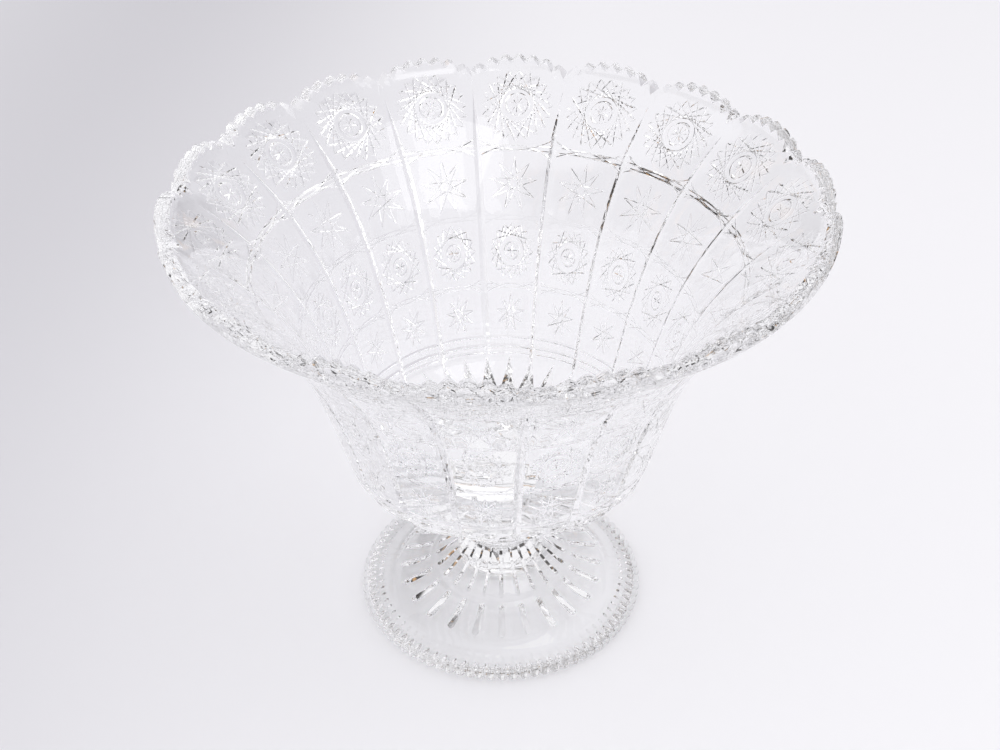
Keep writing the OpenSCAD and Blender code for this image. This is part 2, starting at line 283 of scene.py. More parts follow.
def wedge_mesh(name, points):
    """A closed body through three-cornered sections, given one after the other."""
    end = len(points) - 3
    faces = [face for a in range(0, end, 3) for face in wedge_sides(a, a + 3)]
    return outward(make_mesh(name, points, faces + [(0, 2, 1), (end, end + 1, end + 2)]))


def mitre_mesh(name, path, widths, depths):
    """A V-shaped cutting body along a flat path, with its edge below the face."""
    path = np.array(path, float)
    widths, depths = np.array(widths, float), np.array(depths, float)
    slope = widths.max() / (2 * depths.max())
    side = np.gradient(path, axis=0)
    side = np.stack([-side[:, 1], side[:, 0]], 1) / np.linalg.norm(side, axis=1)[:, None]
    points = []
    for p, n, d in zip(path, side, np.where(depths > RUN_OUT, depths, -RUN_OUT)):
        half = (d + LIFT) * slope
        points += [(p[0], p[1], -d), (*(p + n * half), LIFT), (*(p - n * half), LIFT)]
    return wedge_mesh(name, points)


def straight_cut_mesh(name):
    """The wheel's cut with a length, width and depth of one, to be placed and sized."""
    points, lift = [], 2
    for x, d in ((-0.5, -RUN_OUT), (-0.44, 1.0), (0.44, 1.0), (0.5, -RUN_OUT)):
        points += [(x, 0, -d), (x, 0.5 * (d + lift), lift), (x, -0.5 * (d + lift), lift)]
    return wedge_mesh(name, points)


def ring_mesh(name, centre, radius, width, depth, stretch, sides):
    """A V-shaped ring cut round a rosette's middle."""
    half = (depth + LIFT) * (width / (2 * depth))
    section = ((radius, -depth), (radius + half, LIFT), (radius - half, LIFT))
    points, faces = [], []
    for i in range(sides):
        a = 2 * math.pi * (i + 0.5) / sides
        points += [(centre[0] + r * math.cos(a), centre[1] + r * stretch * math.sin(a), h)
                   for r, h in section]
        faces += wedge_sides(3 * i, 3 * ((i + 1) % sides))
    return outward(make_mesh(name, points, faces))


def notch_mesh(name, turn, deepest):
    """The notch between two teeth of the rim, through the wall's thickness."""
    flank = ((1.1, -0.9), (0.86, 0.0), (0.74, 0.25), (0.05, deepest))
    line = []
    for share, fall in [(-share, fall) for share, fall in flank] + list(reversed(flank)):
        place = turn + share * HALF_TOOTH
        line.append((place, float(rim_line(min(place, 2 * HALF_PANEL - place))) - fall))
    points = []
    for depth in (NOTCH_OVERRUN, -WALL - NOTCH_OVERRUN):
        points += [(place * float(outer_radius(s)), s, depth) for place, s in line]
    n = len(line)
    faces = [tuple(range(n)), tuple(reversed(range(n, 2 * n)))]
    faces += [(i, (i + 1) % n, n + (i + 1) % n, n + i) for i in range(n)]
    return outward(make_mesh(name, points, faces))


def cut_place(centre, middle, way, length, width, depth):
    """One straight cut: across, up the wall, turn, length, width and depth."""
    turn = math.atan2(way[1], way[0])
    return (centre[0] + middle[0], centre[1] + middle[1], turn, length, width, depth)


def star_places(centre, across, up, points, step, width, depth):
    """Straight cuts that join every step-th point of a star."""
    places = []
    for i in range(points):
        a, b = (2 * math.pi * (i + k) / points for k in (0, step))
        p = np.array([across * math.sin(a), up * math.cos(a)])
        q = np.array([across * math.sin(b), up * math.cos(b)])
        way = q - p
        places.append(cut_place(centre, (p + q) / 2, way, float(np.hypot(*way)), width, depth))
    return places


def ray_places(centre, inner, outer, stretch, count, width, depth):
    """Short straight cuts that point away from a rosette's middle."""
    places = []
    for i in range(count):
        a = 2 * math.pi * i / count
        way = np.array([math.sin(a), math.cos(a) * stretch])
        length = float(np.hypot(*way)) * (outer - inner)
        places.append(cut_place(centre, way * (inner + outer) / 2, way, length, width, depth))
    return places


def places_object(name, places):
    """Points that carry the turn and size of each straight cut."""
    mesh = make_mesh(name, [(x, y, 0) for x, y, *_ in places], [])
    turn = mesh.attributes.new("turn", "FLOAT_VECTOR", "POINT")
    size = mesh.attributes.new("size", "FLOAT_VECTOR", "POINT")
    for i, (_, _, angle, length, width, depth) in enumerate(places):
        turn.data[i].vector = (0, 0, angle)
        size.data[i].vector = (length, width, depth)
    return make_object(name, mesh)


# Bands of cuts: middle, distance of the straight lines from it, distance of an arc at the panel's
# edge and at the panel's middle, where it has crossed over, and width and depth of a cut
BANDS = (
    (93.0, 1.05, 4.1, -0.95, 0.86, 0.38),
    (63.2, 0.9, 3.6, -0.9, 0.5, 0.13),
    (33.0, 0.9, 3.8, -0.9, 0.5, 0.15),
)
# Ring cuts at the foot of the wall: place, width and depth
RING_CUTS = ((8.9, 1.4, 0.6), (4.6, 1.8, 0.8), (1.5, 1.2, 0.5))
# The mitre cut between two panels: its places, its full width, how far below its top it starts to
# narrow, its depth by width, and how far past the panel's edge its middle lies
EDGE_PLACES = (-2.0, 3, 6.5, 15, 21, 27, 33, 39, 45, 51, 57, 63, 69, 74, 79, 84, 89, 94, 98.5, 103,
               107.5, 112, 116, 119, 120.5)
EDGE_WIDTH, EDGE_NARROWS, EDGE_DEPTH, EDGE_PAST = 3.3, 24, 0.3, 0.04
# Rays of the star under the bowl: radii along one, where it's widest, half its width there, and
# the lean of its faces from upright
RAY_RADII = (25.0, 30, 35, 40, 44, 47, 49, 51, 53.5, 56, 58.5, 61.0)
RAY_WIDEST, RAY_HALF, RAY_LEAN = 47, 3.7, math.radians(43)
# Depth of each notch of half a lobe, by the teeth's depth. The last is in the valley of the rim
NOTCH_SHARES = (1.0, 1.0, 1.0, 0.55)
NOTCH_OVERRUN = 1.5


def panel_edge(s):
    """Distance from the panel's middle to its edge, laid flat."""
    return float(outer_radius(s)) * HALF_PANEL


def even_cut(name, path, width, depth):
    """A cut of the same width and depth along its whole path."""
    return mitre_mesh(name, path, [width] * len(path), [depth] * len(path))


def panel_shaped_cuts(collection):
    """Curved bands, ring cuts, panel edge, floor rays and rim notches of half a panel."""
    for centre, apart, tall, crossing, width, depth in BANDS:
        for at_edge, at_middle in ((apart, apart), (tall, crossing)):
            for way in (1, -1):
                path = [(x * panel_edge(centre),
                         centre + way * (at_middle + (at_edge - at_middle) * x * x))
                        for x in np.linspace(-0.2, 1.12, 6)]
                make_object("band_cut", even_cut("band_cut", path, width, depth), collection)
    for s, width, depth in RING_CUTS:
        path = [(x * panel_edge(s), s) for x in np.linspace(-0.2, 1.2, 7)]
        make_object("ring_cut", even_cut("ring_cut", path, width, depth), collection)
    wide = [EDGE_WIDTH * min(1, (EDGE_PLACES[-1] - s) / EDGE_NARROWS) for s in EDGE_PLACES]
    path = [(panel_edge(s) + EDGE_PAST, s) for s in EDGE_PLACES]
    cut = mitre_mesh("panel_edge_cut", path, wide, [w * EDGE_DEPTH for w in wide])
    make_object("panel_edge_cut", cut, collection)
    places = [(math.asin(r / UNDERSIDE_R) - CORNER_TURN) * UNDERSIDE_R for r in RAY_RADII]
    widest = [RAY_RADII[0], RAY_WIDEST, RAY_RADII[-1]]
    half = [np.interp(r, widest, [0, RAY_HALF, 0]) for r in RAY_RADII]
    for share in (0.0, 1.0):
        path = [(share * panel_edge(s), s) for s in places]
        cut = mitre_mesh("floor_ray", path, [2 * h for h in half],
                         [h / math.tan(RAY_LEAN) for h in half])
        make_object("floor_ray", cut, collection)
    for k, share in enumerate(NOTCH_SHARES):
        turn = (2 * k + 1) * HALF_PANEL / TEETH_PER_LOBE
        cut = notch_mesh("rim_notch", turn, TOOTH_DEPTH * share)
        make_object("rim_notch", cut, collection)
    for name, centre, *form in (("low_rosette_ring", LOW_ROSETTE, 3.3, 0.8, 0.34, 1.15, 18),
                                ("rosette_ring", ROSETTE, 5.0, 1.2, 0.5, 1.0, 24)):
        make_object(name, ring_mesh(name, centre, *form), collection)


# ------------ geometry node trees
def new_tree(name, inputs):
    """A geometry node tree with named inputs. Returns it, its nodes, a link call and its ends."""
    tree = bpy.data.node_groups.new(name, "GeometryNodeTree")
    tree.interface.new_socket("Geometry", in_out="INPUT", socket_type="NodeSocketGeometry")
    for label, kind in inputs:
        tree.interface.new_socket(label, in_out="INPUT", socket_type=kind)
    tree.interface.new_socket("Geometry", in_out="OUTPUT", socket_type="NodeSocketGeometry")
    begin, end = tree.nodes.new("NodeGroupInput"), tree.nodes.new("NodeGroupOutput")
    return tree, tree.nodes, tree.links.new, begin, end


def finish_tree(nodes, link, begin, end, geometry):
    """Ends a tree in Realize Instances and Set Material."""
    real, dress = nodes.new("GeometryNodeRealizeInstances"), nodes.new("GeometryNodeSetMaterial")
    link(geometry, real.inputs["Geometry"])
    link(real.outputs["Geometry"], dress.inputs["Geometry"])
    link(begin.outputs["Material"], dress.inputs["Material"])
    link(dress.outputs["Geometry"], end.inputs["Geometry"])


def read_attribute(nodes, name, kind):
    read = nodes.new("GeometryNodeInputNamedAttribute")
    read.data_type = kind
    read.inputs["Name"].default_value = name
    return read.outputs["Attribute"]


def spread_round(nodes, link, count, form, first=None):
    """Repeats a form round the axis, from a first turn if there is one."""
    spots, put = nodes.new("GeometryNodeMeshLine"), nodes.new("GeometryNodeInstanceOnPoints")
    index, spin = nodes.new("GeometryNodeInputIndex"), nodes.new("ShaderNodeCombineXYZ")
    whole, step = nodes.new("ShaderNodeMath"), nodes.new("ShaderNodeMath")
    whole.operation, step.operation = "DIVIDE", "MULTIPLY"
    whole.inputs[0].default_value = 2 * math.pi
    spots.inputs["Offset"].default_value = (0, 0, 0)
    link(count, spots.inputs["Count"])
    link(count, whole.inputs[1])
    link(index.outputs["Index"], step.inputs[0])
    link(whole.outputs[0], step.inputs[1])
    turn = step.outputs[0]
    if first is not None:
        add = nodes.new("ShaderNodeMath")
        add.operation = "ADD"
        link(turn, add.inputs[0])
        link(first, add.inputs[1])
        turn = add.outputs[0]
    link(turn, spin.inputs["Z"])
    link(spots.outputs["Mesh"], put.inputs["Points"])
    link(form, put.inputs["Instance"])
    link(spin.outputs["Vector"], put.inputs["Rotation"])
    return put.outputs["Instances"]


def cut_tree():
    """Straight cuts, placed from points, and shaped cuts are ground out of a blank."""
    tree, nodes, link, begin, end = new_tree("Mitre Cutting", [
        ("Cut Places", "NodeSocketObject"), ("Straight Cut", "NodeSocketObject"),
        ("Shaped Cuts", "NodeSocketCollection"), ("Material", "NodeSocketMaterial")])
    places, cut = nodes.new("GeometryNodeObjectInfo"), nodes.new("GeometryNodeObjectInfo")
    shaped = nodes.new("GeometryNodeCollectionInfo")
    shaped.inputs["Separate Children"].default_value = True
    put = nodes.new("GeometryNodeInstanceOnPoints")
    link(begin.outputs["Cut Places"], places.inputs["Object"])
    link(begin.outputs["Straight Cut"], cut.inputs["Object"])
    link(begin.outputs["Shaped Cuts"], shaped.inputs["Collection"])
    link(places.outputs["Geometry"], put.inputs["Points"])
    link(cut.outputs["Geometry"], put.inputs["Instance"])
    for label, socket in (("turn", "Rotation"), ("size", "Scale")):
        link(read_attribute(nodes, label, "FLOAT_VECTOR"), put.inputs[socket])
    grind = nodes.new("GeometryNodeMeshBoolean")
    grind.operation, grind.solver = "DIFFERENCE", "MANIFOLD"
    link(begin.outputs["Geometry"], grind.inputs["Mesh 1"])
    link(put.outputs["Instances"], grind.inputs["Mesh 2"])
    link(shaped.outputs["Instances"], grind.inputs["Mesh 2"])
    split = nodes.new("GeometryNodeTriangulate")
    link(grind.outputs["Mesh"], split.inputs["Mesh"])
    finish_tree(nodes, link, begin, end, split.outputs["Mesh"])
    return tree


def round_tree():
    """A half sector is mirrored, repeated round the axis and joined into one closed mesh."""
    tree, nodes, link, begin, end = new_tree("Repeat Round Axis", [
        ("Count", "NodeSocketInt"), ("First Turn", "NodeSocketFloat"),
        ("Join Distance", "NodeSocketFloat"), ("Material", "NodeSocketMaterial")])
    mirror, flip = nodes.new("GeometryNodeTransform"), nodes.new("GeometryNodeFlipFaces")
    mirror.inputs["Scale"].default_value = (1, -1, 1)
    pair, real = nodes.new("GeometryNodeJoinGeometry"), nodes.new("GeometryNodeRealizeInstances")
    seam = read_attribute(nodes, "seam", "BOOLEAN")

    def weld(geometry):
        merge = nodes.new("GeometryNodeMergeByDistance")
        link(geometry, merge.inputs["Geometry"])
        link(seam, merge.inputs["Selection"])
        link(begin.outputs["Join Distance"], merge.inputs["Distance"])
        return merge.outputs["Geometry"]

    link(begin.outputs["Geometry"], mirror.inputs["Geometry"])
    link(mirror.outputs["Geometry"], flip.inputs["Mesh"])
    link(begin.outputs["Geometry"], pair.inputs["Geometry"])
    link(flip.outputs["Mesh"], pair.inputs["Geometry"])
    link(spread_round(nodes, link, begin.outputs["Count"], weld(pair.outputs["Geometry"]),
                      begin.outputs["First Turn"]), real.inputs["Geometry"])
    finish_tree(nodes, link, begin, end, weld(real.outputs["Geometry"]))
    return tree


def press_tree():
    """The foot's flutes are pressed into its body and its beads are joined on, round the axis."""
    tree, nodes, link, begin, end = new_tree("Pressed Foot", [
        ("Flute", "NodeSocketObject"), ("Flute Count", "NodeSocketInt"),
        ("Notch", "NodeSocketObject"), ("Rib", "NodeSocketObject"), ("Bead", "NodeSocketObject"),
        ("Bead Count", "NodeSocketInt"), ("Material", "NodeSocketMaterial")])

    def around(count, form):
        info = nodes.new("GeometryNodeObjectInfo")
        link(begin.outputs[form], info.inputs["Object"])
        return spread_round(nodes, link, begin.outputs[count], info.outputs["Geometry"])

    press, join = nodes.new("GeometryNodeMeshBoolean"), nodes.new("GeometryNodeMeshBoolean")
    press.operation, press.solver = "DIFFERENCE", "MANIFOLD"
    join.operation, join.solver = "UNION", "MANIFOLD"
    link(begin.outputs["Geometry"], press.inputs["Mesh 1"])
    link(around("Flute Count", "Flute"), press.inputs["Mesh 2"])
    link(around("Bead Count", "Notch"), press.inputs["Mesh 2"])
    link(press.outputs["Mesh"], join.inputs["Mesh 2"])
    link(around("Bead Count", "Rib"), join.inputs["Mesh 2"])
    link(around("Bead Count", "Bead"), join.inputs["Mesh 2"])
    split = nodes.new("GeometryNodeTriangulate")
    link(join.outputs["Mesh"], split.inputs["Mesh"])
    finish_tree(nodes, link, begin, end, split.outputs["Mesh"])
    return tree


def run_tree(ob, tree, values):
    """Sets a tree's inputs by their identifiers and returns the finished plain mesh."""
    mod = ob.modifiers.new(tree.name, "NODES")
    mod.node_group = tree
    sockets = {s.name: s.identifier for s in tree.interface.items_tree if s.in_out == "INPUT"}
    for label, value in values.items():
        mod[sockets[label]] = value
    ob.update_tag()
    graph = bpy.context.evaluated_depsgraph_get()
    mesh = bpy.data.meshes.new_from_object(ob.evaluated_get(graph))
    ob.modifiers.remove(mod)
    return mesh


def read_mesh(mesh):
    points = np.empty(len(mesh.vertices) * 3)
    mesh.vertices.foreach_get("co", points)
    return points.reshape(-1, 3), [tuple(p.vertices) for p in mesh.polygons]


def soften(mesh, angle):
    """Shades a mesh smooth, with edges over an angle in degrees kept sharp."""
    mesh.shade_smooth()
    mesh.set_sharp_from_angle(angle=math.radians(angle))
    return mesh


# ------------ materials
# Sockets of a Mix node that is set to colour: its two colours and its result
MIX_LOW, MIX_HIGH, MIX_RESULT = 6, 7, 2
GLASS_IOR, FUSED_IOR = 1.5, 1.0
TINT_LOW, TINT_HIGH = (0.99, 0.992, 0.996, 1), (0.998, 0.999, 1.0, 1)
HAZE_HIGH = 0.02
# How far the ripple stands out, in metres
RIPPLE_RISE = 0.0006
# Share of a lamp's light that passes the glass, because cast shadows don't bend through it
LIGHT_THROUGH = 0.92


def set_inputs(node, values):
    for label, value in values.items():
        node.inputs[label].default_value = value


def mix_colour(nodes, link, share, low, high):
    """A colour between two others, each a plain colour or a socket."""
    mix = nodes.new("ShaderNodeMix")
    mix.data_type = "RGBA"
    link(share, mix.inputs["Factor"])
    for index, colour in ((MIX_LOW, low), (MIX_HIGH, high)):
        if isinstance(colour, tuple):
            mix.inputs[index].default_value = colour
        else:
            link(colour, mix.inputs[index])
    return mix.outputs[MIX_RESULT]


def soft_step(nodes, link, value, low, high):
    """A rounded step from 0 to 1 as a value goes from low to high."""
    step = nodes.new("ShaderNodeMapRange")
    step.interpolation_type = "SMOOTHSTEP"
    link(value, step.inputs["Value"])
    set_inputs(step, {"From Min": low, "From Max": high})
    return step.outputs["Result"]


def surface_group():
    """Faint ripple and haze of fire-polished glass, from the piece's own coordinates."""
    group = bpy.data.node_groups.new("Fire Polished Surface", "ShaderNodeTree")
    for label, value in (
            ("Ripple Scale", 60.0), ("Fine Scale", 420.0), ("Haze Low", 0.0), ("Haze High", 0.03)):
        socket = group.interface.new_socket(label, in_out="INPUT", socket_type="NodeSocketFloat")
        socket.default_value = value
    for label in ("Tint Low", "Tint High"):
        group.interface.new_socket(label, in_out="INPUT", socket_type="NodeSocketColor")
    for label, kind in (("Tint", "Color"), ("Haze", "Float"), ("Height", "Float")):
        group.interface.new_socket(label, in_out="OUTPUT", socket_type="NodeSocket" + kind)
    nodes, link = group.nodes, group.links.new
    begin, end = nodes.new("NodeGroupInput"), nodes.new("NodeGroupOutput")
    place = nodes.new("ShaderNodeTexCoord")
    wide, fine = nodes.new("ShaderNodeTexNoise"), nodes.new("ShaderNodeTexNoise")
    fine.inputs["Detail"].default_value = 3
    for texture, label in ((wide, "Ripple Scale"), (fine, "Fine Scale")):
        link(place.outputs["Object"], texture.inputs["Vector"])
        link(begin.outputs[label], texture.inputs["Scale"])
    haze = nodes.new("ShaderNodeMapRange")
    set_inputs(haze, {"From Min": 0.4, "From Max": 0.75})
    link(fine.outputs["Fac"], haze.inputs["Value"])
    link(begin.outputs["Haze Low"], haze.inputs["To Min"])
    link(begin.outputs["Haze High"], haze.inputs["To Max"])
    link(mix_colour(nodes, link, wide.outputs["Fac"], begin.outputs["Tint Low"],
                    begin.outputs["Tint High"]), end.inputs["Tint"])
    link(haze.outputs["Result"], end.inputs["Haze"])
    link(wide.outputs["Fac"], end.inputs["Height"])
    return group


def glass_material(name, group, ripple, bump):
    mat = bpy.data.materials.new(name)
    mat.use_nodes = True
    nodes, link = mat.node_tree.nodes, mat.node_tree.links.new
    shader = nodes["Principled BSDF"]
    set_inputs(shader, {"Transmission Weight": 1.0, "IOR": GLASS_IOR, "Metallic": 0.0})
    surface = nodes.new("ShaderNodeGroup")
    surface.node_tree = group
    set_inputs(surface, {"Ripple Scale": ripple, "Haze High": HAZE_HIGH,
                         "Tint Low": TINT_LOW, "Tint High": TINT_HIGH})
    relief = nodes.new("ShaderNodeBump")
    set_inputs(relief, {"Strength": bump, "Distance": RIPPLE_RISE})
    link(surface.outputs["Tint"], shader.inputs["Base Color"])
    link(surface.outputs["Haze"], shader.inputs["Roughness"])
    link(surface.outputs["Height"], relief.inputs["Height"])
    link(relief.outputs["Normal"], shader.inputs["Normal"])
    light, solid = nodes.new("ShaderNodeLightPath"), nodes.new("ShaderNodeMath")
    solid.operation = "MULTIPLY_ADD"
    set_inputs(solid, {1: -LIGHT_THROUGH, 2: 1.0})
    link(light.outputs["Is Shadow Ray"], solid.inputs[0])
    link(solid.outputs[0], shader.inputs["Alpha"])
    return mat


def joint_material(name):
    """The fused faces at the wafer, where glass meets glass and nothing bends the light."""
    mat = bpy.data.materials.new(name)
    mat.use_nodes = True
    set_inputs(mat.node_tree.nodes["Principled BSDF"], {
        "Base Color": (1, 1, 1, 1), "Transmission Weight": 1.0, "Roughness": 0.0,
        "IOR": FUSED_IOR})
    return mat


def fuse(mesh, heights, material):
    """Gives the level faces at these heights the material of a fused joint."""
    mesh.materials.append(material)
    for face in mesh.polygons:
        away = min(abs(face.center.z - h * MM) for h in heights)
        if abs(face.normal.z) > 0.99 and away < 1.5 * JOINT_GAP * MM:
            face.material_index = len(mesh.materials) - 1
    return mesh


surface = surface_group()
fused_joint = joint_material("fused_joint_glass")
bowl_glass = glass_material("cut_bowl_glass", surface, 70.0, 0.06)
wafer_glass = glass_material("wafer_clear_glass", surface, 90.0, 0.05)
foot_glass = glass_material("pressed_foot_glass", surface, 90.0, 0.06)
# Edges sharper than this, in degrees, stay sharp
CUT_SHARP, PRESSED_SHARP = 28, 30

# ------------ the bowl
# A star: half its width and height, its points, how many points on each cut ends, width and depth
# of a cut. A ring of rays: inner and outer end, stretch up the wall, number, width and depth
cuts = star_places(ROSETTE, 16.2, 16.6, 20, 7, 0.95, 0.42)
cuts += ray_places(ROSETTE, 0.4, 3.7, 1.0, 10, 0.6, 0.3)
cuts += star_places(STAR, 10.8, 11.8, 9, 4, 0.44, 0.19)
cuts += star_places(LOW_ROSETTE, 9.8, 12.4, 16, 5, 0.6, 0.27)
cuts += ray_places(LOW_ROSETTE, 0.3, 2.4, 1.1, 8, 0.5, 0.24)
cuts += star_places(LOW_STAR, 6.6, 9.0, 9, 4, 0.55, 0.25)

blank = make_object("half_panel_blank", half_panel_blank())
straight = make_object("straight_cut", straight_cut_mesh("straight_cut"))
cut_places = places_object("cut_places", cuts)
shaped = bpy.data.collections.new("shaped_cuts")
bpy.context.scene.collection.children.link(shaped)
panel_shaped_cuts(shaped)
scratch = [blank, straight, cut_places] + list(shaped.objects)


def snap_sides(flat, faces, caps):
    """Puts the points of the side faces exactly on the panel's middle and edge. Returns both."""
    ends = np.array(sorted({v for f, c in zip(faces, caps) if c == SIDE for v in f}))
    at_edge = flat[ends, 0] / outer_radius(flat[ends, 1]) >= HALF_PANEL / 2
    middle, border = ends[~at_edge], ends[at_edge]
    flat[middle, 0] = 0.0
    flat[border, 0] = outer_radius(flat[border, 1]) * HALF_PANEL
    return set(middle.tolist()), set(border.tolist())


def skin_faces(faces, caps, sides):
    """Faces of the glass itself, without those that lie in a side and those that lie double."""
    by_points = {}
    for f, c in zip(faces, caps):
        if c == SKIN and not any(all(v in side for v in f) for side in sides):
            by_points.setdefault(tuple(sorted(f)), []).append(f)
    return [same[0] for same in by_points.values() if len(same) == 1]


cut_half = run_tree(blank, cut_tree(), {
    "Cut Places": cut_places, "Straight Cut": straight, "Shaped Cuts": shaped,
    "Material": bowl_glass})
flat, faces = read_mesh(cut_half)
caps = np.array([d.value for d in cut_half.attributes["cap"].data])
sector_faces = skin_faces(faces, caps, snap_sides(flat, faces, caps))
sector_points = [tuple(p) for p in bend(flat)]


def lathe_strip(points, faces, line, turns):
    """Adds a strip turned from a line of (radius, height), with its faces to the line's left."""
    columns = []
    for turn in turns:
        start = len(points)
        points += [(r * math.cos(turn) * MM, r * math.sin(turn) * MM, z * MM) for r, z in line]
        columns.append(start)
    for a, b in zip(columns, columns[1:]):
        for i in range(len(line) - 1):
            if line[i][0] == 0:
                faces.append((a + i, a + i + 1, b + i + 1))
            elif line[i + 1][0] == 0:
                faces.append((a + i, a + i + 1, b + i))
            else:
                faces.append((a + i, a + i + 1, b + i + 1))
                faces.append((a + i, b + i + 1, b + i))


# A ring of points that halves the boss's face, the steps of the floor and of a rounded edge
BOSS_RING, FLOOR_STEPS, FILLET_STEPS = 9, 4, 6
# Points of two halves or sectors that are closer than this are joined, in metres
JOIN_DISTANCE = 0.000001

neck = float(outer_height(START_S))
fillet_low = (WAFER_HIGH + neck) / 2
boss_line = [(0, WAFER_HIGH), (BOSS_RING, WAFER_HIGH), (BOSS_R, WAFER_HIGH)] + [
    (BOSS_R + BOSS_FILLET * (1 - math.cos(a)), fillet_low + (neck - fillet_low) * math.sin(a))
    for a in quarter_turn(FILLET_STEPS)]
floor_edge, floor_rise = (float(value) for value in inner_point(START_S))
floor_line = [(r, FLOOR_CENTRE - math.sqrt(FLOOR_R ** 2 - r ** 2))
              for r in (floor_edge * k / FLOOR_STEPS for k in range(FLOOR_STEPS))]
floor_line.append((floor_edge, floor_rise))
lathe_strip(sector_points, sector_faces, boss_line, COLUMN_TURNS)
lathe_strip(sector_points, sector_faces, list(reversed(floor_line)), COLUMN_TURNS)
half_sector = make_object("half_sector", make_mesh("half_sector", sector_points, sector_faces))
on_seam = np.zeros(len(sector_points), bool)
on_seam[len(flat):] = True
on_seam[sorted({v for f, c in zip(faces, caps) if c != SKIN for v in f})] = True
half_sector.data.attributes.new("seam", "BOOLEAN", "POINT").data.foreach_set("value", on_seam)
scratch.append(half_sector)
bowl_mesh = run_tree(half_sector, round_tree(), {
    "Count": PANELS, "First Turn": HALF_PANEL, "Join Distance": JOIN_DISTANCE,
    "Material": bowl_glass})
fuse(bowl_mesh, [WAFER_HIGH], fused_joint)
cut_bowl = make_object("cut_glass_bowl", soften(bowl_mesh, CUT_SHARP))

# ------------ the foot
DOME_EDGE = np.array([52.0, 7.3])
WAIST = np.array([13.0, 37.5])
TRUMPET_WIDE, TRUMPET_TALL = DOME_EDGE[0] - WAIST[0], WAIST[1] - DOME_EDGE[1]
WAIST_HANDLE = np.array([WAIST[0], WAIST[1] - TRUMPET_TALL * 0.36])
DOME_HANDLE = np.array([WAIST[0] + TRUMPET_WIDE * 0.44, DOME_EDGE[1] + TRUMPET_TALL * 0.04])
# The stem widens and rises by this much above the waist, to its top and to a ring on that face
NECK_WIDENS, NECK_RISES, NECK_STEPS = 2.0, 4.48, 5
NECK_TOP, NECK_RING = WAFER_LOW - JOINT_GAP, 9.0
HOLLOW_R, HOLLOW_TALL, HOLLOW_STEPS = 51.0, 12.0, 12
# The plain ring that crosses the flutes: radius, half its width, and how far it stands proud
RING_R, RING_HALF, RING_PROUD = 30.0, 1.9, 0.45
# Underside, rounded edge and bevel of the foot, from the hollow out and up to the dome
FOOT_EDGE = [(53.0, 0.0), (57.5, 0.0), (58.9, 0.6), (59.8, 1.4), (FOOT_R, 2.1), (59.6, 2.9),
             (55.6, 5.5), (52.9, 6.6), (52.35, 6.75)]
DOME_POINTS, RING_POINTS, FOOT_SIDES = 34, 9, 168


def trumpet(t):
    """Points of the foot's curve, from the waist at 0 to the dome's edge at 1."""
    t = np.asarray(t, float)[..., None]
    return (WAIST * (1 - t) ** 3 + 3 * WAIST_HANDLE * t * (1 - t) ** 2
            + 3 * DOME_HANDLE * t ** 2 * (1 - t) + DOME_EDGE * t ** 3)


def trumpet_side(t):
    """Direction straight out of the foot's curve."""
    ahead, behind = trumpet(np.asarray(t) + 0.001), trumpet(np.asarray(t) - 0.001)
    way = ahead - behind
    side = np.stack([-way[..., 1], way[..., 0]], -1)
    return side / np.linalg.norm(side, axis=-1)[..., None]


CURVE = np.linspace(0, 1, CURVE_POINTS)
CURVE_R = trumpet(CURVE)[:, 0]


def trumpet_at(radius):
    """Place along the foot's curve at a distance from the axis."""
    return np.interp(radius, CURVE_R, CURVE)


def ring_rise(radius):
    """How far the plain ring that crosses the flutes stands proud."""
    return RING_PROUD * np.clip(1 - ((np.asarray(radius) - RING_R) / RING_HALF) ** 2, 0, 1)


def turned_mesh(name, line, sides):
    """A closed solid turned from a line of (radius, height) that begins and ends on the axis."""
    points, faces = [], []
    inner = line[1:-1]
    n = len(inner)
    for k in range(sides):
        a = 2 * math.pi * k / sides
        points += [(r * math.cos(a), r * math.sin(a), z) for r, z in inner]
    first, last = len(points), len(points) + 1
    points += [(0, 0, line[0][1]), (0, 0, line[-1][1])]
    for k in range(sides):
        a, b = k * n, (k + 1) % sides * n
        faces += [(a + i, a + i + 1, b + i + 1, b + i) for i in range(n - 1)]
        faces += [(first, a, b), (last, b + n - 1, a + n - 1)]
    points = [(x * MM, y * MM, z * MM) for x, y, z in points]
    return outward(make_mesh(name, points, faces))


def foot_line():
    """Half the foot's outline: hollow, edge, dome and stem, as points of (radius, height)."""
    ball = (HOLLOW_R ** 2 + HOLLOW_TALL ** 2) / (2 * HOLLOW_TALL)
    turn = math.asin(HOLLOW_R / ball)
    hollow = [(ball * math.sin(turn * i / HOLLOW_STEPS),
               HOLLOW_TALL - ball + ball * math.cos(turn * i / HOLLOW_STEPS))
              for i in range(HOLLOW_STEPS + 1)]
    ring = trumpet_at(np.linspace(RING_R - 2, RING_R + 2, RING_POINTS))
    ts = sorted({*np.linspace(0, 1, DOME_POINTS).tolist(), *ring.tolist()}, reverse=True)
    dome = [tuple(trumpet(t) + trumpet_side(t) * float(ring_rise(trumpet(t)[0]))) for t in ts]
    neck = [(WAIST[0] + NECK_WIDENS * (1 - math.cos(a)), WAIST[1] + NECK_RISES * math.sin(a))
            for a in quarter_turn(NECK_STEPS, first=1)]
    return hollow + FOOT_EDGE + dome + neck + [(NECK_RING, NECK_TOP), (0, NECK_TOP)]


